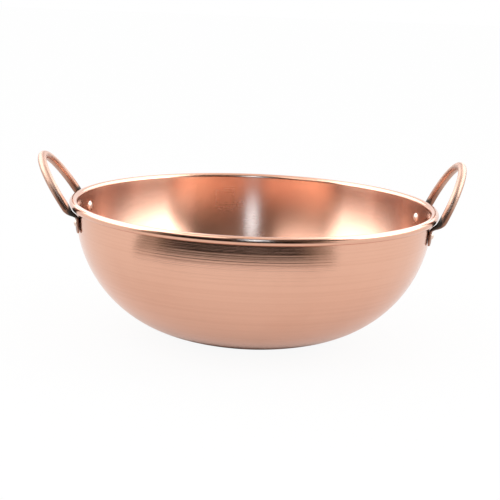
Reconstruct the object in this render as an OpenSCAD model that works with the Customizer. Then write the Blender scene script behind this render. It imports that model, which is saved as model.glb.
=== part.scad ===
// Copper jam pan: a spun bowl with a wired rim and two riveted loop handles.
// Millimetres, base on the plane z = 0, bowl axis on Z, handles on the X axis.

/* [Bowl] */
// Outside diameter over the rolled rim
rim_d = 380; // [330:5:420]
// Height from the flat base to the top of the rolled rim
pan_h = 142.4; // [124:1:180]
// Diameter of the flat base
base_d = 100; // [80:2:150]
// Thickness of the copper sheet
sheet_t = 1.5; // [1:0.1:2.2]
// Height of the straight collar under the middle of the rolled rim
collar_h = 5.5; // [5:0.5:10]
// Radius of the belly curve as a share of its height above the base
belly_share = 0.968; // [0.85:0.005:0.98]
// Radius of the shallow curve between the base and the belly
lower_r = 260; // [220:5:380]

/* [Rim] */
// Diameter of the wire inside the rolled rim
wire_d = 5; // [3:0.5:6]
// Clearance around the wire inside the roll
wire_gap = 0.2; // [0.1:0.05:0.3]
// Gap between the edge of the roll and the wall
roll_gap = 0.4; // [0.2:0.1:1]

/* [Handle loops] */
// Diameter of the handle bar
bar_d = 8.6; // [7:0.2:10]
// Radius of the loop at the middle of the bar
loop_r = 53.5; // [44:0.5:62]
// Outward lean of the left loop from upright in degrees
left_lean = 34.5; // [18:0.5:40]
// Outward lean of the right loop from upright in degrees
right_lean = 25.5; // [18:0.5:40]
// Space between the rolled rim and the bar
rim_space = 1.6; // [1.2:0.1:2.4]

/* [Handle feet] */
// Width of the flattened tongue on the wall
tongue_w = 12.5; // [11.5:0.5:15]
// Thickness of the tongue
tongue_t = 2.6; // [2:0.1:3.4]
// Depth of the tongue end below the middle of the rolled rim
tongue_drop = 26; // [24.5:0.5:32]
// Radius of the bend that carries the bar in under the rim
neck_r = 9; // [8.6:0.2:9.8]
// Clearance between a foot and the bowl
seat_gap = 0.15; // [0.1:0.05:0.3]

/* [Rivets] */
// Diameter of the rivet shank
rivet_d = 5; // [4:0.2:6]
// Depth of the rivets below the middle of the rolled rim
rivet_drop = 15.5; // [15:0.25:17]
// Diameter of the rivet head inside the bowl
inner_head_d = 10; // [8:0.5:12]
// Height of the rivet head inside the bowl
inner_head_h = 2.2; // [1.4:0.2:3]
// Diameter of the rivet head on the tongue
outer_head_d = 7.4; // [6.8:0.2:8]
// Height of the rivet head on the tongue
outer_head_h = 2; // [1.2:0.2:3]
// Clearance around the rivet shank in its holes
hole_gap = 0.05; // [0.03:0.01:0.1]
// Clearance under the rivet heads
head_gap = 0.1; // [0.08:0.02:0.2]

/* [Hidden] */
$fn = 96;
wall_copper = [0.85, 0.60, 0.48];
bar_copper = [0.72, 0.48, 0.37];
wire_iron = [0.34, 0.31, 0.29];
rivet_copper = [0.80, 0.62, 0.52];

rim_r = rim_d / 2;
base_r = base_d / 2;
bar_r = bar_d / 2;
rivet_r = rivet_d / 2;
roll_in_r = wire_d / 2 + wire_gap;
roll_r = roll_in_r + sheet_t;
roll_c = rim_r - roll_r;
roll_z = pan_h - roll_r;
roll_end = acos((roll_in_r - roll_gap) / roll_r);

// Wall: the belly arc meets the collar upright, the lower arc meets the belly smoothly
wall_r = roll_c - roll_in_r;
belly_z = roll_z - collar_h;
belly_r = belly_share * belly_z;
belly_x = wall_r - belly_r;
reach = lower_r - belly_r;
to_base_x = base_r - belly_x;
to_base_z = -belly_z;
to_base = sqrt(to_base_x * to_base_x + to_base_z * to_base_z);
along = (reach * reach - lower_r * lower_r + to_base * to_base) / (2 * to_base);
across = sqrt(reach * reach - along * along);
lower_x = belly_x + (along * to_base_x + across * to_base_z) / to_base;
lower_z = belly_z + (along * to_base_z - across * to_base_x) / to_base;
base_slope = atan2(base_r - lower_x, lower_z);
joint_slope = atan2(belly_x - lower_x, lower_z - belly_z);
down = -90;
full_turn = 360;
lower_steps = 6;
belly_steps = 30;
belly_step = (-down - joint_slope) / (belly_steps + 1);
roll_steps = 24;

// Handles: the bar passes the rim at the same height as the middle of the roll
bar_reach = rim_r + rim_space + bar_r;
foot_x = sqrt(bar_reach * bar_reach - loop_r * loop_r);
foot_turn = atan2(loop_r, foot_x);
bar_off = bar_reach - roll_c;
bar_dip = 1.5;
bar_under = asin(bar_dip / loop_r);
neck_x = bar_off + bar_r - neck_r;
neck_z = 1.2;
neck_top = 1;
neck_side = 0.4;
foot_gap = 0.3;
fork_z = -11.4;
web_z = -8.4;
web_x = 1.4;
web_reach = 3;
tongue_top = -5.4;

// Rivets: square to the wall
rivet_tilt = asin((rivet_drop - collar_h) / belly_r);
rivet_x = wall_r - belly_r * (1 - cos(rivet_tilt));
rivet_z = roll_z - rivet_drop;
tongue_low = (rivet_drop - tongue_drop) / cos(rivet_tilt);
tongue_high = (rivet_drop + tongue_top) / cos(rivet_tilt);
drill_l = 12;

// Sheet outline: up the outside, round the roll and back down the inside
function curve(x, z, r, from, to, steps) = [
    for (k = [0:steps])
        let (a = from + (to - from) * k / steps)
            [x + r * cos(a), z + r * sin(a)]
];

module bowl_outline() {
    foot = down + base_slope;
    joint = down + joint_slope;
    over = 180 + roll_end;
    polygon(concat(
        [[0, 0]],
        curve(lower_x, lower_z, lower_r, foot, joint, lower_steps),
        curve(belly_x, belly_z, belly_r, joint + belly_step, 0, belly_steps),
        curve(roll_c, roll_z, roll_in_r, 180, over - full_turn, roll_steps),
        curve(roll_c, roll_z, roll_r, over - full_turn, 180, roll_steps),
        curve(belly_x, belly_z, belly_r - sheet_t, 0, joint + belly_step, belly_steps),
        curve(lower_x, lower_z, lower_r - sheet_t, joint, foot, lower_steps),
        [[0, sheet_t]]
    ));
}

module at_rivet(turn) {
    rotate([0, 0, turn])
        translate([rivet_x, 0, rivet_z])
            rotate([0, 90 + rivet_tilt, 0])
                children();
}

module drill() {
    translate([0, 0, -drill_l / 2]) cylinder(r = rivet_r + hole_gap, h = drill_l);
}

module bowl() {
    color(wall_copper)
        difference() {
            rotate_extrude() bowl_outline();
            for (side = [0, 180])
                for (turn = [-foot_turn, foot_turn])
                    at_rivet(side + turn) drill();
        }
}

module rim_wire() {
    color(wire_iron)
        translate([0, 0, roll_z])
            rotate_extrude() translate([roll_c, 0]) circle(d = wire_d);
}

// Foot: a bend that takes the bar in under the rim, and the tongue below it
module neck_side_view() {
    difference() {
        union() {
            translate([neck_x, neck_z]) circle(r = neck_r);
            polygon([
                [foot_gap - roll_in_r, fork_z],
                [foot_gap - roll_in_r + tongue_t, fork_z],
                [web_x, web_z],
                [web_x + web_reach, web_z + web_x],
                [neck_x, neck_z],
                [foot_gap - roll_in_r, neck_z]
            ]);
        }
        circle(r = roll_r + foot_gap);
        translate([-2 * neck_r, neck_top]) square([6 * neck_r, 2 * neck_r]);
        translate([foot_gap - roll_in_r - 2 * neck_r, -4 * neck_r]) square([2 * neck_r, 6 * neck_r]);
    }
}

module neck_front_view() {
    polygon([
        [-tongue_w / 2, fork_z - 1],
        [tongue_w / 2, fork_z - 1],
        [tongue_w / 2, web_z],
        [bar_r + neck_side, neck_top - bar_r],
        [bar_r + neck_side, neck_top + 1],
        [-bar_r - neck_side, neck_top + 1],
        [-bar_r - neck_side, neck_top - bar_r],
        [-tongue_w / 2, web_z]
    ]);
}

module neck(turn) {
    rotate([0, 0, turn])
        translate([roll_c, 0, roll_z])
            intersection() {
                rotate([90, 0, 0])
                    linear_extrude(height = 2 * tongue_w, center = true) neck_side_view();
                rotate([90, 0, 90])
                    translate([0, 0, -neck_r])
                        linear_extrude(height = 4 * neck_r) neck_front_view();
            }
}

module tongue(turn) {
    at_rivet(turn)
        translate([0, 0, seat_gap])
            rotate([0, 0, 90])
                linear_extrude(height = tongue_t)
                    union() {
                        translate([0, tongue_low + tongue_w / 2]) circle(d = tongue_w);
                        translate([-tongue_w / 2, tongue_low + tongue_w / 2])
                            square([tongue_w, tongue_high - tongue_low - tongue_w / 2]);
                    }
}

module loop_bar(lean) {
    translate([foot_x, 0, roll_z])
        rotate([0, lean, 0])
            rotate([0, -90, 0])
                rotate([0, 0, -90 - bar_under])
                    rotate_extrude(angle = 180 + 2 * bar_under) translate([loop_r, 0]) circle(r = bar_r);
}

module handle(lean) {
    color(bar_copper)
        difference() {
            union() {
                loop_bar(lean);
                for (turn = [-foot_turn, foot_turn]) {
                    neck(turn);
                    tongue(turn);
                }
            }
            for (turn = [-foot_turn, foot_turn])
                at_rivet(turn) drill();
        }
}

module handle_left() {
    rotate([0, 0, 180]) handle(left_lean);
}

module handle_right() {
    handle(right_lean);
}

// Rivet: a shank with a low domed head at each end
module dome(head_d, head_h) {
    dome_r = (head_h * head_h + head_d * head_d / 4) / (2 * head_h);
    intersection() {
        translate([0, head_h - dome_r]) circle(r = dome_r);
        square([head_d / 2, head_h]);
    }
}

module rivet(turn) {
    inner = sheet_t + head_gap;
    outer = seat_gap + tongue_t + head_gap;
    color(rivet_copper)
        at_rivet(turn)
            rotate_extrude() {
                translate([0, -inner]) square([rivet_r, inner + outer]);
                translate([0, outer]) dome(outer_head_d, outer_head_h);
                translate([0, -inner]) mirror([0, 1]) dome(inner_head_d, inner_head_h);
            }
}

module rivet_left_front() {
    rivet(180 + foot_turn);
}

module rivet_left_rear() {
    rivet(180 - foot_turn);
}

module rivet_right_front() {
    rivet(-foot_turn);
}

module rivet_right_rear() {
    rivet(foot_turn);
}

bowl();
rim_wire();
handle_left();
handle_right();
rivet_left_front();
rivet_left_rear();
rivet_right_front();
rivet_right_rear();
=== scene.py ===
"""Copper jam pan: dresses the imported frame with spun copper, forged loop handles and a plain studio."""

import math

import bpy
from mathutils import Matrix, Vector


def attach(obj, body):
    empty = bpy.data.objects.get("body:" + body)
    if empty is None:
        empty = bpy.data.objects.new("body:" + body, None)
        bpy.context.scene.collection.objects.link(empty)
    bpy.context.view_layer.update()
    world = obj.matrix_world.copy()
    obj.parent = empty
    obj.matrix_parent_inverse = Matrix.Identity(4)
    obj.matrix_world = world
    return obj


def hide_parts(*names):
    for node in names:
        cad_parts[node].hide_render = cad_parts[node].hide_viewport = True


bl_info = {
    "name": "Copper jam pan",
    "version": (1, 0, 0),
    "blender": (4, 5, 0),
    "location": "3D View > Sidebar > Jam pan",
    "description": "Builds the visible pieces, materials and studio of a copper jam pan",
    "category": "Object",
}

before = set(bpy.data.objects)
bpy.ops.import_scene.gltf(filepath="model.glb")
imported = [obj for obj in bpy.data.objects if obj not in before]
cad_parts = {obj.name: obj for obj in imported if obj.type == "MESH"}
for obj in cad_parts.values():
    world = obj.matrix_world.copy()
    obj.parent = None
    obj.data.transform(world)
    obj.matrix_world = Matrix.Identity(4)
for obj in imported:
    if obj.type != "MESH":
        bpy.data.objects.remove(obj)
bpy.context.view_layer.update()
MM = 0.001
ORIGIN = (0, 0, 0)

# Steps of the bowl's curves, its turning, the bar's turning and the loop's half circle.
LOWER_STEPS, BELLY_STEPS, INNER_ROLL_STEPS, OUTER_ROLL_STEPS = 14, 48, 24, 36
LATHE_STEPS, AROUND_STEPS, LOOP_STEPS, CARD_STEPS = 240, 32, 64, 48
# Every LOOP_KEY point of the loop steers the smooth run into the feet, which has SMOOTH_STEPS between rows.
LOOP_KEY, SMOOTH_STEPS = 8, 5
# Points nearer than this, in metres, become one.
WELD = 2e-6

# Millimetres: the gap left at the roll's end, the run beside the base's edge and under the roll,
# and the middle of a tongue off the middle of the sheet's outer face.
ROLL_END_GAP, EDGE_RUN, TONGUE_SEAT = 0.4, 1.5, 1.45
# Degrees of the half circle left to the bend at each leg.
LOOP_MARGIN = 2.2

# Turns the highlight's stretch from along the rings to across them.
ANISO_TURN = 0.25

# Curved cards round the pan that only reflections see: name, colour, glow or None, and bands of
# inner radius, lower edge, outer radius, upper edge (metres), start and end (degrees from the camera).
FLOOR_EDGE, ROOM, CEILING = 0.43, 1.9, 1.5
SKIRT, DADO, TOP = 0.002, 0.60, 3.0
LINTEL, LINTEL_Z = 1.7, 2.0
# Inner radius, outer radius and height of a dark ring under the pan's belly that only reflections see: a
# painted shadow standing in for the pan's contact shadow on the floor.
PAINTED_SHADOW_IN, PAINTED_SHADOW_OUT, PAINTED_SHADOW_Z = 0.052, 0.088, 0.0012
ROOM_CARDS = (
    ("dark", (0.007, 0.006, 0.005), None, (
        (FLOOR_EDGE, SKIRT, ROOM, SKIRT, -46, 25), (ROOM, 0.0, ROOM, DADO, -46, 25))),
    ("dim", (0.09, 0.075, 0.06), None, (
        (FLOOR_EDGE, SKIRT, ROOM, SKIRT, -54, -46), (ROOM, 0.0, ROOM, DADO, -54, -46),
        (FLOOR_EDGE, SKIRT, ROOM, SKIRT, 25, 33), (ROOM, 0.0, ROOM, DADO, 25, 33),
        (ROOM, DADO, CEILING, TOP, -62, -4), (ROOM, DADO, CEILING, TOP, 5, 64),
        (LINTEL, LINTEL_Z, CEILING, TOP, -4, 5))),
    ("grey", (0.34, 0.31, 0.28), None, (
        (FLOOR_EDGE, SKIRT, ROOM, SKIRT, -68, -54), (ROOM, 0.0, ROOM, DADO, -68, -54),
        (FLOOR_EDGE, SKIRT, ROOM, SKIRT, 33, 43), (ROOM, 0.0, ROOM, DADO, 33, 43))),
    # Painted shadow: a dark floor ring under the belly, seen in the lower wall's reflections.
    ("contact", (0.24, 0.19, 0.16), None, ((PAINTED_SHADOW_IN, PAINTED_SHADOW_Z, PAINTED_SHADOW_OUT, PAINTED_SHADOW_Z, -180, 180),)),
    ("cool", (0.42, 0.72, 1.0), 3.6, ((ROOM, DADO, LINTEL, LINTEL_Z, -4, 5),)),
    ("glow", (0.86, 0.96, 1.0), 3.2, (
        (ROOM, DADO, CEILING, TOP, -120, -68), (ROOM, DADO, CEILING, TOP, 66, 116))),
    ("rear", (0.92, 0.95, 1.0), 2.2, (
        (ROOM, DADO, CEILING, TOP, -165, -120), (ROOM, DADO, CEILING, TOP, 116, 165))),
)

# Sides of the pan and the turn that brings a handle there, in degrees.
SIDES = {"right": 0.0, "left": 180.0}
RIVETS = ("rivet_left_front", "rivet_left_rear", "rivet_right_front", "rivet_right_rear")

# Tongue and bend sections: offset out and up from the middle of the rolled rim,
# half width, half thickness and squareness, all lengths in millimetres.
TONGUE_SECTIONS = (
    (-10.4, 0.6, 0.3, 2.0),
    (-10.1, 2.4, 0.8, 2.2),
    (-9.2, 4.0, 1.1, 2.6),
    (-7.2, 5.6, 1.25, 3.2),
    (-4.2, 6.2, 1.3, 3.4),
    (0.0, 6.2, 1.3, 3.4),
    (3.6, 6.2, 1.35, 3.2),
)
NECK_SECTIONS = (
    (-0.6, -9.4, 6.1, 1.6, 2.8),
    (2.3, -7.2, 5.8, 2.0, 2.5),
    (5.6, -5.2, 5.2, 2.9, 2.3),
    (8.3, -2.6, 4.7, 3.9, 2.1),
)


def number(name, text, value):
    """A number property with its default."""
    return bpy.props.FloatProperty(name=name, description=text, default=value)


class PanSizes(bpy.types.PropertyGroup):
    """Sizes of the visible pan, in millimetres and degrees."""

    rim_radius: number("Rim radius", "Over the rolled rim", 190.0)
    height: number("Height", "Base to top of the rim", 142.4)
    base_radius: number("Base radius", "Flat base", 50.0)
    sheet: number("Sheet", "Copper sheet thickness", 1.5)
    wire_cavity: number("Roll bore", "Inner radius of the roll", 2.7)
    collar: number("Collar", "Straight wall under the rim", 5.5)
    belly_share: number("Belly share", "Belly radius over its height", 0.968)
    lower_radius: number("Lower radius", "Curve by the base", 260.0)
    bar_radius: number("Bar radius", "Handle bar", 4.3)
    loop_radius: number("Loop radius", "Middle of the bar", 53.5)
    rim_space: number("Rim space", "From rim to bar", 1.6)
    left_lean: number("Left lean", "From upright, in degrees", 34.5)
    right_lean: number("Right lean", "From upright, in degrees", 25.5)
    rivet_drop: number("Rivet drop", "Below the middle of the roll", 15.5)


def colour(name, text, value):
    """A colour property with its default."""
    return bpy.props.FloatVectorProperty(
        name=name, description=text, subtype="COLOR", size=3, default=value)


class PanColours(bpy.types.PropertyGroup):
    """Colours of the materials, linear."""

    copper: colour("Copper", "Bright spun copper", (0.76, 0.43, 0.31))
    copper_deep: colour("Deep copper", "Tarnished streaks", (0.60, 0.29, 0.19))
    bar: colour("Bar copper", "Handle bar", (0.56, 0.35, 0.265))
    bar_deep: colour("Deep bar copper", "Heat-browned bar", (0.27, 0.12, 0.075))
    scale_dark: colour("Fire scale", "Black oxide on the forged feet", (0.035, 0.028, 0.022))
    rivet: colour("Rivet", "Rivet heads", (0.36, 0.19, 0.135))
    iron: colour("Iron", "Rim wire", (0.09, 0.08, 0.075))


class StageSettings(bpy.types.PropertyGroup):
    """Camera and studio."""

    distance: number("Camera distance", "To the rim centre, metres", 1.5)
    elevation: number("Elevation", "Degrees above the horizon", 10.1)
    turn: number("Turn", "Degrees round the pan", 1.0)
    roll: number("Roll", "Clockwise roll of the picture, degrees", 2.31)
    focal_px: number("Focal length", "In picture pixels", 1449.3)
    aim_x: number("Aim right", "Rim centre right of the middle, pixels", 4.24)
    aim_y: number("Aim up", "Rim centre above the middle, pixels", 44.53)
    picture: number("Picture", "Picture width in pixels", 500.0)
    sky: number("Sky", "Strength of the soft surround", 0.92)
    shine: number("Shine", "Strength of the surround in reflections", 1.12)
    key: number("Key light", "Watts", 6.0)


def deselect():
    bpy.ops.object.select_all(action="DESELECT")


def finish_piece(obj, name, material, smooth_angle=40.0):
    """Names, smooths and dresses a new mesh, and lets it ride on the pan."""
    obj.name = name
    obj.data.name = name
    obj.data.materials.clear()
    obj.data.materials.append(material)
    deselect()
    obj.select_set(True)
    bpy.context.view_layer.objects.active = obj
    bpy.ops.object.shade_smooth_by_angle(angle=math.radians(smooth_angle))
    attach(obj, "root")
    return obj


# Shape of the pan, worked out as in the frame.

def pan_shape(sizes):
    """Centres and angles of the wall's curves, in millimetres and radians."""
    roll = sizes.wire_cavity + sizes.sheet
    shape = {"roll": roll, "roll_x": sizes.rim_radius - roll, "roll_z": sizes.height - roll}
    wall = shape["roll_x"] - sizes.wire_cavity
    belly_z = shape["roll_z"] - sizes.collar
    belly = sizes.belly_share * belly_z
    belly_x = wall - belly
    reach = sizes.lower_radius - belly
    to_x = sizes.base_radius - belly_x
    to_z = -belly_z
    span = math.hypot(to_x, to_z)
    along = (reach ** 2 - sizes.lower_radius ** 2 + span ** 2) / (2 * span)
    across = math.sqrt(reach ** 2 - along ** 2)
    lower_x = belly_x + (along * to_x + across * to_z) / span
    lower_z = belly_z + (along * to_z - across * to_x) / span
    shape.update(
        wall=wall, belly=belly, belly_x=belly_x, belly_z=belly_z, lower_x=lower_x, lower_z=lower_z,
        base_slope=math.atan2(sizes.base_radius - lower_x, lower_z),
        joint_slope=math.atan2(belly_x - lower_x, lower_z - belly_z),
    )
    return shape


def arc(centre, radius, start, end, steps):
    """Points of an arc in the outline's plane; angles in radians from the +X axis."""
    return [
        Vector((centre[0] + radius * math.cos(start + (end - start) * k / steps), 0,
                centre[1] + radius * math.sin(start + (end - start) * k / steps)))
        for k in range(steps + 1)
    ]


def bowl_outline(sizes):
    """Closed outline of the sheet from the axis, up outside, round the roll and down inside."""
    s = pan_shape(sizes)
    down = -math.pi / 2
    lower = (s["lower_x"], s["lower_z"])
    belly = (s["belly_x"], s["belly_z"])
    roll = (s["roll_x"], s["roll_z"])
    roll_end = math.acos((sizes.wire_cavity - ROLL_END_GAP) / s["roll"])
    start, joint = down + s["base_slope"], down + s["joint_slope"]
    rolled = -math.pi - (2 * math.pi - roll_end)
    half_base = sizes.base_radius / 2
    points = [Vector(ORIGIN), Vector((half_base, 0, 0)), Vector((sizes.base_radius - EDGE_RUN, 0, 0))]
    points += arc(lower, sizes.lower_radius, start, joint, LOWER_STEPS)
    points += arc(belly, s["belly"], joint, 0, BELLY_STEPS)[1:]
    points += [Vector((s["wall"], 0, s["roll_z"] - EDGE_RUN))]
    points += arc(roll, sizes.wire_cavity, -math.pi, rolled, INNER_ROLL_STEPS)
    points += arc(roll, s["roll"], rolled, -math.pi, OUTER_ROLL_STEPS)
    points += arc(belly, s["belly"] - sizes.sheet, 0, joint, BELLY_STEPS)
    points += arc(lower, sizes.lower_radius - sizes.sheet, joint, start, LOWER_STEPS)[1:]
    points += [Vector((half_base, 0, sizes.sheet)), Vector((0, 0, sizes.sheet))]
    return [p * MM for p in points]


def lathe(outline, steps):
    """Draws the outline edge by edge and spins it round the Z axis."""
    deselect()
    bpy.ops.mesh.primitive_plane_add(size=MM)
    obj = bpy.context.object
    bpy.ops.object.mode_set(mode="EDIT")
    bpy.ops.mesh.select_all(action="SELECT")
    bpy.ops.mesh.merge(type="CENTER")
    bpy.ops.transform.translate(value=outline[0])
    for here, there in zip(outline, outline[1:]):
        bpy.ops.mesh.extrude_region_move(TRANSFORM_OT_translate={"value": there - here})
    bpy.ops.mesh.select_all(action="SELECT")
    bpy.ops.mesh.spin(steps=steps, angle=2 * math.pi, center=ORIGIN, axis=(0, 0, 1))
    bpy.ops.mesh.select_all(action="SELECT")
    bpy.ops.mesh.remove_doubles(threshold=WELD)
    bpy.ops.mesh.normals_make_consistent(inside=False)
    bpy.ops.object.mode_set(mode="OBJECT")
    return obj


def smooth_rows(rows, steps):
    """Catmull-Rom rows through the given rows."""
    out = []
    for i in range(len(rows) - 1):
        a = rows[max(i - 1, 0)]
        b, c = rows[i], rows[i + 1]
        d = rows[min(i + 2, len(rows) - 1)]
        for k in range(steps):
            t = k / steps
            out.append([
                0.5 * (2 * q + (r - p) * t + (2 * p - 5 * q + 4 * r - w) * t * t
                       + (3 * q - p - 3 * r + w) * t ** 3)
                for p, q, r, w in zip(a, b, c, d)
            ])
    out.append(list(rows[-1]))
    return out


def mirrored(row):
    """The same section on the other side of the loop."""
    centre, axis = row[0].copy(), row[1].copy()
    centre.y, axis.y = -centre.y, -axis.y
    return [centre, axis] + row[2:]


def flat_row(row):
    """A section as one list of numbers."""
    return list(row[0]) + list(row[1]) + row[2:]


def handle_sections(sizes, lean):
    """Rows of centre, width axis, half width, half thickness and squareness, tongue to tongue, on +X."""
    s = pan_shape(sizes)
    reach = sizes.rim_radius + sizes.rim_space + sizes.bar_radius
    foot = math.sqrt(reach ** 2 - sizes.loop_radius ** 2)
    turn = math.atan2(sizes.loop_radius, foot)
    tilt = math.asin((sizes.rivet_drop - sizes.collar) / s["belly"])
    rivet_x = s["wall"] - s["belly"] * (1 - math.cos(tilt)) + TONGUE_SEAT * math.cos(tilt)
    rivet_z = s["roll_z"] - sizes.rivet_drop - TONGUE_SEAT * math.sin(tilt)
    rows = [
        [rivet_x + up * math.sin(tilt), rivet_z + up * math.cos(tilt), width, thick, square]
        for up, width, thick, square in TONGUE_SECTIONS
    ]
    rows += [
        [s["roll_x"] + out, s["roll_z"] + up, width, thick, square]
        for out, up, width, thick, square in NECK_SECTIONS
    ]
    radial = Vector((math.cos(turn), math.sin(turn), 0))
    side = Vector((-math.sin(turn), math.cos(turn), 0))
    leg = [[radial * r[0] + Vector((0, 0, r[1])), side, r[2], r[3], r[4]] for r in rows]
    up_axis = Vector((math.sin(math.radians(lean)), 0, math.cos(math.radians(lean))))
    origin = Vector((foot, 0, s["roll_z"]))
    loop = []
    for k in range(LOOP_STEPS + 1):
        a = math.radians(LOOP_MARGIN + (180 - 2 * LOOP_MARGIN) * k / LOOP_STEPS)
        out = Vector((0, math.cos(a), 0)) + up_axis * math.sin(a)
        loop.append([origin + out * sizes.loop_radius, out, sizes.bar_radius, sizes.bar_radius, 2.0])
    keys = loop[::LOOP_KEY]
    control = leg + keys + [mirrored(r) for r in reversed(leg)]
    dense = smooth_rows([flat_row(r) for r in control], SMOOTH_STEPS)
    first = SMOOTH_STEPS * len(leg)
    last = SMOOTH_STEPS * (len(leg) + len(keys) - 1)
    return dense[:first] + [flat_row(r) for r in loop] + dense[last + 1:]


def tube(sections, around):
    """Wraps a grid round the sections and closes its seam and ends."""
    deselect()
    bpy.ops.mesh.primitive_grid_add(x_subdivisions=around, y_subdivisions=len(sections) - 1, size=1)
    obj = bpy.context.object
    centres = [Vector(row[0:3]) for row in sections]
    places = []
    for i, row in enumerate(sections):
        tangent = (centres[min(i + 1, len(centres) - 1)] - centres[max(i - 1, 0)]).normalized()
        width_axis = Vector(row[3:6])
        width_axis = (width_axis - tangent * width_axis.dot(tangent)).normalized()
        thick_axis = tangent.cross(width_axis).normalized()
        half_w, half_t, power = row[6:9]
        for k in range(around + 1):
            a = 2 * math.pi * (k % around) / around
            c, s = math.cos(a), math.sin(a)
            x = half_w * math.copysign(abs(c) ** (2 / power), c)
            y = half_t * math.copysign(abs(s) ** (2 / power), s)
            if i in (0, len(sections) - 1):
                x = y = 0.0
            places += list((centres[i] + width_axis * x + thick_axis * y) * MM)
    obj.data.vertices.foreach_set("co", places)
    bpy.ops.object.mode_set(mode="EDIT")
    bpy.ops.mesh.select_all(action="SELECT")
    bpy.ops.mesh.remove_doubles(threshold=WELD)
    bpy.ops.mesh.normals_make_consistent(inside=False)
    bpy.ops.object.mode_set(mode="OBJECT")
    return obj


# Materials.

def group(name, inputs, outputs):
    """A shader node group with named sockets; inputs are (name, default)."""
    tree = bpy.data.node_groups.new(name, "ShaderNodeTree")
    for label, value in inputs:
        socket = tree.interface.new_socket(label, in_out="INPUT", socket_type="NodeSocketFloat")
        socket.default_value = value
    for label in outputs:
        tree.interface.new_socket(label, in_out="OUTPUT", socket_type="NodeSocketFloat")
    return tree, tree.nodes.new("NodeGroupInput"), tree.nodes.new("NodeGroupOutput")


def link(tree, source, target):
    tree.links.new(source, target)


def maths(tree, operation, a, b=None, clamp=False):
    """A math node; a and b are sockets or numbers."""
    node = tree.nodes.new("ShaderNodeMath")
    node.operation = operation
    node.use_clamp = clamp
    for k, value in enumerate((a, b)):
        if value is None:
            continue
        if isinstance(value, (int, float)):
            node.inputs[k].default_value = value
        else:
            link(tree, value, node.inputs[k])
    return node.outputs[0]


def ramp(tree, fac, low, high):
    """Smooth step from low to high."""
    node = tree.nodes.new("ShaderNodeMapRange")
    node.interpolation_type = "SMOOTHSTEP"
    node.inputs["From Min"].default_value = low
    node.inputs["From Max"].default_value = high
    link(tree, fac, node.inputs["Value"])
    return node.outputs["Result"]


def noise(tree, vector, scale, detail=3.0, rough=0.5):
    node = tree.nodes.new("ShaderNodeTexNoise")
    node.inputs["Detail"].default_value = detail
    node.inputs["Roughness"].default_value = rough
    if isinstance(scale, (int, float)):
        node.inputs["Scale"].default_value = scale
    else:
        link(tree, scale, node.inputs["Scale"])
    link(tree, vector, node.inputs["Vector"])
    return node.outputs["Fac"]


def length(tree, a, b):
    """Length of the flat vector (a, b)."""
    squares = maths(tree, "MULTIPLY", a, a), maths(tree, "MULTIPLY", b, b)
    return maths(tree, "SQRT", maths(tree, "ADD", *squares))


def spun_lines_group():
    """Rings left by the spinning tool, along the wall's height and the base's radius."""
    tree, inside, outside = group("Spun lines", [("Fine", 1900.0), ("Broad", 480.0)], ["Fine", "Broad"])
    xyz = tree.nodes.new("ShaderNodeSeparateXYZ")
    link(tree, tree.nodes.new("ShaderNodeTexCoord").outputs["Object"], xyz.inputs[0])
    radius = length(tree, xyz.outputs[0], xyz.outputs[1])
    turned = tree.nodes.new("ShaderNodeCombineXYZ")
    link(tree, radius, turned.inputs[0])
    link(tree, xyz.outputs[2], turned.inputs[1])
    angle = maths(tree, "ARCTAN2", xyz.outputs[1], xyz.outputs[0])
    link(tree, maths(tree, "MULTIPLY", maths(tree, "SINE", angle), 0.0012), turned.inputs[2])
    link(tree, noise(tree, turned.outputs[0], inside.outputs["Fine"], 2.0), outside.inputs["Fine"])
    link(tree, noise(tree, turned.outputs[0], inside.outputs["Broad"], 3.0), outside.inputs["Broad"])
    return tree


def blotch_group():
    """Soft uneven tarnish."""
    tree, inside, outside = group("Blotches", [("Scale", 14.0), ("Low", 0.45), ("High", 0.75)], ["Mask"])
    place = tree.nodes.new("ShaderNodeTexCoord").outputs["Object"]
    node = tree.nodes.new("ShaderNodeMapRange")
    node.interpolation_type = "SMOOTHSTEP"
    link(tree, noise(tree, place, inside.outputs["Scale"], 4.0, 0.55), node.inputs["Value"])
    link(tree, inside.outputs["Low"], node.inputs["From Min"])
    link(tree, inside.outputs["High"], node.inputs["From Max"])
    link(tree, node.outputs["Result"], outside.inputs["Mask"])
    return tree


def fire_scale_group():
    """Black scale where the feet bend round the rim, with a ragged browned edge beyond it."""
    tree, inside, outside = group(
        "Fire scale", [("Reach", 0.0105), ("Fade", 0.0035), ("Rim radius", 0.1858), ("Rim height", 0.1382)],
        ["Black", "Brown"])
    place = tree.nodes.new("ShaderNodeTexCoord").outputs["Object"]
    xyz = tree.nodes.new("ShaderNodeSeparateXYZ")
    link(tree, place, xyz.inputs[0])
    radius = length(tree, xyz.outputs[0], xyz.outputs[1])
    out = maths(tree, "SUBTRACT", radius, inside.outputs["Rim radius"])
    up = maths(tree, "SUBTRACT", xyz.outputs[2], inside.outputs["Rim height"])
    ragged = maths(tree, "MULTIPLY", maths(tree, "SUBTRACT", noise(tree, place, 120.0, 2.0), 0.5), 0.008)
    away = maths(tree, "ADD", length(tree, out, up), ragged)
    depth = maths(tree, "SUBTRACT", inside.outputs["Reach"], away)
    below = maths(tree, "DIVIDE", depth, inside.outputs["Fade"])
    link(tree, ramp(tree, below, -0.4, 0.8), outside.inputs["Black"])
    link(tree, ramp(tree, below, -6.5, -1.0), outside.inputs["Brown"])
    return tree


def new_material(name):
    material = bpy.data.materials.new(name)
    material.use_nodes = True
    tree = material.node_tree
    return material, tree, tree.nodes["Principled BSDF"]


def use_group(tree, name, **values):
    node = tree.nodes.new("ShaderNodeGroup")
    node.node_tree = bpy.data.node_groups[name]
    for label, value in values.items():
        node.inputs[label].default_value = value
    return node


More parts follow.
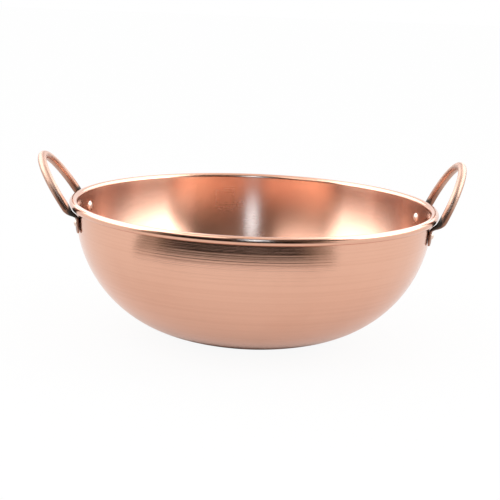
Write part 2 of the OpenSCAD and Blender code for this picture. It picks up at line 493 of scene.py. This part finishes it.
def mix(tree, fac, a, b):
    """Mixes two colours; a and b are sockets or RGB values."""
    node = tree.nodes.new("ShaderNodeMix")
    node.data_type = "RGBA"
    link(tree, fac, node.inputs["Factor"])
    for key, value in (("A", a), ("B", b)):
        socket = [i for i in node.inputs if i.name == key and i.type == "RGBA"][0]
        if isinstance(value, bpy.types.NodeSocket):
            link(tree, value, socket)
        else:
            socket.default_value = (*value, 1.0)
    return [o for o in node.outputs if o.type == "RGBA"][0]


def bump(tree, height, strength, distance, normal_in):
    node = tree.nodes.new("ShaderNodeBump")
    node.inputs["Strength"].default_value = strength
    node.inputs["Distance"].default_value = distance
    link(tree, height, node.inputs["Height"])
    link(tree, node.outputs["Normal"], normal_in)


def weighed(tree, source, share):
    """A mask times a share."""
    return maths(tree, "MULTIPLY", source, share)


def spun_copper(colours, name, rough_base, stretch, lines_seen):
    """Spun copper, whose highlights stretch across the rings."""
    streak_low, streak_high, streak_share = 0.42, 0.7, 0.14
    tarnish_share, fine_rough, tarnish_rough = 0.18, 0.12, 0.05
    broad_height, line_bump, line_depth = 1.2, 0.8, 0.00012
    material, tree, shader = new_material(name)
    lines = use_group(tree, "Spun lines")
    blotches = use_group(tree, "Blotches", Scale=9.0)
    streak = ramp(tree, lines.outputs["Broad"], streak_low, streak_high)
    streak = weighed(tree, streak, streak_share * lines_seen)
    tarnish = weighed(tree, blotches.outputs["Mask"], tarnish_share)
    tarnish = maths(tree, "ADD", streak, tarnish, True)
    link(tree, mix(tree, tarnish, colours.copper, colours.copper_deep), shader.inputs["Base Color"])
    rough = weighed(tree, lines.outputs["Fine"], fine_rough * lines_seen)
    rough = maths(tree, "ADD", rough, weighed(tree, blotches.outputs["Mask"], tarnish_rough))
    link(tree, maths(tree, "ADD", rough, rough_base), shader.inputs["Roughness"])
    height = maths(tree, "ADD", lines.outputs["Fine"], weighed(tree, lines.outputs["Broad"], broad_height))
    bump(tree, height, line_bump * lines_seen, line_depth, shader.inputs["Normal"])
    round_axis = tree.nodes.new("ShaderNodeTangent")
    round_axis.direction_type = "RADIAL"
    round_axis.axis = "Z"
    link(tree, round_axis.outputs["Tangent"], shader.inputs["Tangent"])
    shader.inputs["Anisotropic"].default_value = stretch
    shader.inputs["Anisotropic Rotation"].default_value = ANISO_TURN
    shader.inputs["Metallic"].default_value = 1.0
    return material


def bar_copper(colours):
    """Satin bar copper, browned and black where it was forged."""
    tarnish_share, brown_share, satin, tarnish_rough, scale_rough = 0.25, 0.85, 0.36, 0.08, 0.15
    scale_dulls, grain_size, grain_bump, grain_depth = 0.5, 260.0, 0.03, 0.0001
    material, tree, shader = new_material("bar_copper")
    blotches = use_group(tree, "Blotches", Scale=20.0, Low=0.4, High=0.8)
    scale = use_group(tree, "Fire scale")
    tarnish = weighed(tree, blotches.outputs["Mask"], tarnish_share)
    base = mix(tree, tarnish, colours.bar, colours.bar_deep)
    base = mix(tree, weighed(tree, scale.outputs["Brown"], brown_share), base, colours.bar_deep)
    link(tree, mix(tree, scale.outputs["Black"], base, colours.scale_dark), shader.inputs["Base Color"])
    rough = maths(tree, "ADD", weighed(tree, blotches.outputs["Mask"], tarnish_rough), satin)
    link(tree, maths(tree, "ADD", rough, weighed(tree, scale.outputs["Black"], scale_rough)),
         shader.inputs["Roughness"])
    metal = maths(tree, "SUBTRACT", 1.0, weighed(tree, scale.outputs["Black"], scale_dulls))
    link(tree, metal, shader.inputs["Metallic"])
    place = tree.nodes.new("ShaderNodeTexCoord").outputs["Object"]
    bump(tree, noise(tree, place, grain_size, 2.0), grain_bump, grain_depth, shader.inputs["Normal"])
    return material


def rivet_copper(colours):
    """Dull rivet copper with small dents from the hammer."""
    tarnish_share, satin, tarnish_rough = 0.5, 0.38, 0.15
    dent_size, dent_bump, dent_depth = 300.0, 0.4, 0.0004
    material, tree, shader = new_material("rivet_copper")
    blotches = use_group(tree, "Blotches", Scale=160.0, Low=0.42, High=0.7)
    tarnish = weighed(tree, blotches.outputs["Mask"], tarnish_share)
    link(tree, mix(tree, tarnish, colours.rivet, colours.bar_deep), shader.inputs["Base Color"])
    link(tree, maths(tree, "ADD", weighed(tree, blotches.outputs["Mask"], tarnish_rough), satin),
         shader.inputs["Roughness"])
    place = tree.nodes.new("ShaderNodeTexCoord").outputs["Object"]
    bump(tree, noise(tree, place, dent_size, 2.0), dent_bump, dent_depth, shader.inputs["Normal"])
    shader.inputs["Metallic"].default_value = 1.0
    return material


def wire_iron(colours):
    """Dark iron wire inside the roll."""
    satin, tarnish_rough = 0.45, 0.2
    material, tree, shader = new_material("wire_iron")
    blotches = use_group(tree, "Blotches", Scale=90.0)
    link(tree, mix(tree, blotches.outputs["Mask"], colours.iron, colours.scale_dark),
         shader.inputs["Base Color"])
    link(tree, maths(tree, "ADD", weighed(tree, blotches.outputs["Mask"], tarnish_rough), satin),
         shader.inputs["Roughness"])
    shader.inputs["Metallic"].default_value = 1.0
    return material


# Steps of the build.

class PAN_OT_materials(bpy.types.Operator):
    """Makes the shared effects and the five materials"""

    bl_idname = "pan.materials"
    bl_label = "Materials"

    def execute(self, context):
        colours = context.scene.pan_colours
        spun_lines_group()
        blotch_group()
        fire_scale_group()
        spun_copper(colours, "spun_copper", 0.10, 0.7, 1.0)
        spun_copper(colours, "spun_copper_inside", 0.22, 0.93, 0.1)
        for make in (bar_copper, rivet_copper, wire_iron):
            make(colours)
        return {"FINISHED"}


class PAN_OT_bowl(bpy.types.Operator):
    """Spins the copper bowl with its rolled rim"""

    bl_idname = "pan.bowl"
    bl_label = "Bowl"

    def execute(self, context):
        sizes = context.scene.pan_sizes
        bowl = lathe(bowl_outline(sizes), LATHE_STEPS)
        finish_piece(bowl, "spun_bowl", bpy.data.materials["spun_copper"])
        bowl.data.materials.append(bpy.data.materials["spun_copper_inside"])
        roll_z = pan_shape(sizes)["roll_z"] * MM
        upward = 0.5
        for face in bowl.data.polygons:
            outward = face.normal.x * face.center.x + face.normal.y * face.center.y
            inside = outward < 0 or face.normal.z > upward
            if inside and face.center.z < roll_z:
                face.material_index = 1
        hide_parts("bowl")
        return {"FINISHED"}


class PAN_OT_handles(bpy.types.Operator):
    """Forges both loop handles with their flattened feet"""

    bl_idname = "pan.handles"
    bl_label = "Handles"

    def execute(self, context):
        sizes = context.scene.pan_sizes
        for side, turn in SIDES.items():
            lean = sizes.left_lean if side == "left" else sizes.right_lean
            handle = tube(handle_sections(sizes, lean), AROUND_STEPS)
            if turn:
                bpy.ops.object.mode_set(mode="EDIT")
                bpy.ops.mesh.select_all(action="SELECT")
                bpy.ops.transform.rotate(
                    value=math.radians(turn), orient_axis="Z", center_override=ORIGIN)
                bpy.ops.object.mode_set(mode="OBJECT")
            finish_piece(handle, "loop_" + side, bpy.data.materials["bar_copper"], 60.0)
            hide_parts("handle_" + side)
        return {"FINISHED"}


class PAN_OT_frame_finish(bpy.types.Operator):
    """Gives the rivets and the rim wire their materials"""

    bl_idname = "pan.frame_finish"
    bl_label = "Rivets and wire"

    def execute(self, context):
        dressed = {name: "rivet_copper" for name in RIVETS}
        dressed["rim_wire"] = "wire_iron"
        for name, material in dressed.items():
            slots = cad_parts[name].material_slots
            if not slots:
                raise RuntimeError(name + " has no material slot")
            for slot in slots:
                slot.material = bpy.data.materials[material]
        return {"FINISHED"}


def matt(shader, rgb):
    """Makes a shader plain and matt."""
    shader.inputs["Base Color"].default_value = (*rgb, 1.0)
    shader.inputs["Roughness"].default_value = 0.9
    shader.inputs["Specular IOR Level"].default_value = 0.0


def plain(name, rgb, strength=None):
    """A diffuse stage material, or an even glow where a strength is given."""
    material, tree, shader = new_material(name)
    matt(shader, rgb)
    if strength is not None:
        shader.inputs["Emission Color"].default_value = (*rgb, 1.0)
        shader.inputs["Emission Strength"].default_value = strength
    return material


def floor_white():
    """A white floor that still takes a faint shadow."""
    white, seen_glow, mirrored_glow = (0.97, 0.97, 0.97), 0.93, 0.40
    material, tree, shader = new_material("floor_white")
    matt(shader, white)
    glow = tree.nodes.new("ShaderNodeEmission")
    both = tree.nodes.new("ShaderNodeMixShader")
    path = tree.nodes.new("ShaderNodeLightPath")
    seen = weighed(tree, path.outputs["Is Camera Ray"], seen_glow)
    glossy = weighed(tree, path.outputs["Is Glossy Ray"], mirrored_glow)
    link(tree, maths(tree, "ADD", seen, glossy), both.inputs[0])
    link(tree, shader.outputs[0], both.inputs[1])
    link(tree, glow.outputs[0], both.inputs[2])
    link(tree, both.outputs[0], tree.nodes["Material Output"].inputs["Surface"])
    return material


def card(name, inner, outer, low, high, start, end, material):
    """A curved card that only reflections see: a band from (inner, low) to (outer, high)."""
    deselect()
    bpy.ops.mesh.primitive_grid_add(x_subdivisions=CARD_STEPS, y_subdivisions=1, size=1)
    obj = bpy.context.object
    places = []
    for radius, z in ((inner, low), (outer, high)):
        for k in range(CARD_STEPS + 1):
            a = math.radians(start + (end - start) * k / CARD_STEPS - 90)
            places += [radius * math.cos(a), radius * math.sin(a), z]
    obj.data.vertices.foreach_set("co", places)
    obj.name = name
    obj.data.materials.append(material)
    obj.visible_camera = False
    obj.visible_diffuse = False
    obj.visible_shadow = False
    return obj


class PAN_OT_stage(bpy.types.Operator):
    """Sets the floor, the surround, the lights and the camera"""

    bl_idname = "pan.stage"
    bl_label = "Studio"

    def execute(self, context):
        scene = context.scene
        stage = scene.pan_stage
        deselect()
        bpy.ops.mesh.primitive_plane_add(size=14)
        floor = bpy.context.object
        floor.name = "floor"
        floor.data.materials.append(floor_white())
        for name, rgb, strength, bands in ROOM_CARDS:
            material = plain("card_" + name, rgb, strength)
            for k, (inner, low, outer, high, start, end) in enumerate(bands):
                card(name + "_" + str(k), inner, outer, low, high, start, end, material)

        world = bpy.data.worlds.new("studio")
        scene.world = world
        world.use_nodes = True
        tree = world.node_tree
        background = tree.nodes["Background"]
        path = tree.nodes.new("ShaderNodeLightPath")
        shine = maths(tree, "MULTIPLY", path.outputs["Is Glossy Ray"], stage.shine - stage.sky)
        seen = maths(tree, "MULTIPLY", path.outputs["Is Camera Ray"], 1.0 - stage.sky)
        strength = maths(tree, "ADD", maths(tree, "ADD", shine, seen), stage.sky)
        link(tree, strength, background.inputs["Strength"])
        background.inputs["Color"].default_value = (1.0, 1.0, 1.0, 1.0)

        for name, place, size, power in (("key", (-0.9, -0.9, 1.6), 1.1, stage.key),
                                         ("fill", (1.3, -0.3, 1.2), 0.9, stage.key * 0.6)):
            bpy.ops.object.light_add(type="AREA", location=place)
            lamp = bpy.context.object
            lamp.name = name
            lamp.data.shape = "DISK"
            lamp.data.size = size
            lamp.data.energy = power
            aim = Vector((0, 0, 0.1)) - Vector(place)
            lamp.rotation_euler = aim.to_track_quat("-Z", "Y").to_euler()

        self.add_camera(context, stage)
        scene.view_settings.view_transform = "Standard"
        return {"FINISHED"}

    def add_camera(self, context, stage):
        """Stands the camera where the photo was taken; the rim centre lands on its pixel."""
        elevation, turn, roll = (math.radians(v) for v in (stage.elevation, stage.turn, stage.roll))
        shape = pan_shape(context.scene.pan_sizes)
        target = Vector((0, 0, shape["roll_z"] * MM))
        outward = Vector((-math.sin(turn) * math.cos(elevation), -math.cos(turn) * math.cos(elevation),
                          math.sin(elevation)))
        forward = -outward
        right = forward.cross(Vector((0, 0, 1))).normalized()
        up = right.cross(forward)
        image_right = right * math.cos(roll) + up * math.sin(roll)
        image_up = up * math.cos(roll) - right * math.sin(roll)
        axis = forward - (image_right * stage.aim_x + image_up * stage.aim_y) / stage.focal_px
        axis.normalize()
        image_right = (image_right - axis * image_right.dot(axis)).normalized()
        image_up = image_right.cross(axis)
        bpy.ops.object.camera_add()
        camera = bpy.context.object
        turn_matrix = Matrix((image_right, image_up, -axis)).transposed()
        camera.matrix_world = Matrix.Translation(target + outward * stage.distance) @ turn_matrix.to_4x4()
        camera.data.sensor_width = 36.0
        camera.data.lens = 36.0 * stage.focal_px / stage.picture
        camera.data.clip_end = 50.0
        context.scene.camera = camera


class PAN_PT_panel(bpy.types.Panel):
    """Sizes, colours and the steps of the build"""

    bl_label = "Jam pan"
    bl_idname = "PAN_PT_panel"
    bl_space_type = "VIEW_3D"
    bl_region_type = "UI"
    bl_category = "Jam pan"

    def draw(self, context):
        for settings in (context.scene.pan_sizes, context.scene.pan_colours, context.scene.pan_stage):
            for name in settings.__annotations__:
                self.layout.prop(settings, name)
        for step in STEPS:
            self.layout.operator("pan." + step)


STEPS = ("materials", "bowl", "handles", "frame_finish", "stage")
CLASSES = (PanSizes, PanColours, StageSettings, PAN_OT_materials, PAN_OT_bowl, PAN_OT_handles,
           PAN_OT_frame_finish, PAN_OT_stage, PAN_PT_panel)


def register():
    for cls in CLASSES:
        bpy.utils.register_class(cls)
    bpy.types.Scene.pan_sizes = bpy.props.PointerProperty(type=PanSizes)
    bpy.types.Scene.pan_colours = bpy.props.PointerProperty(type=PanColours)
    bpy.types.Scene.pan_stage = bpy.props.PointerProperty(type=StageSettings)


def unregister():
    del bpy.types.Scene.pan_stage
    del bpy.types.Scene.pan_colours
    del bpy.types.Scene.pan_sizes
    for cls in reversed(CLASSES):
        bpy.utils.unregister_class(cls)


def main():
    """Builds everything in order."""
    register()
    for step in STEPS:
        getattr(bpy.ops.pan, step)()


if __name__ == "__main__":
    main()
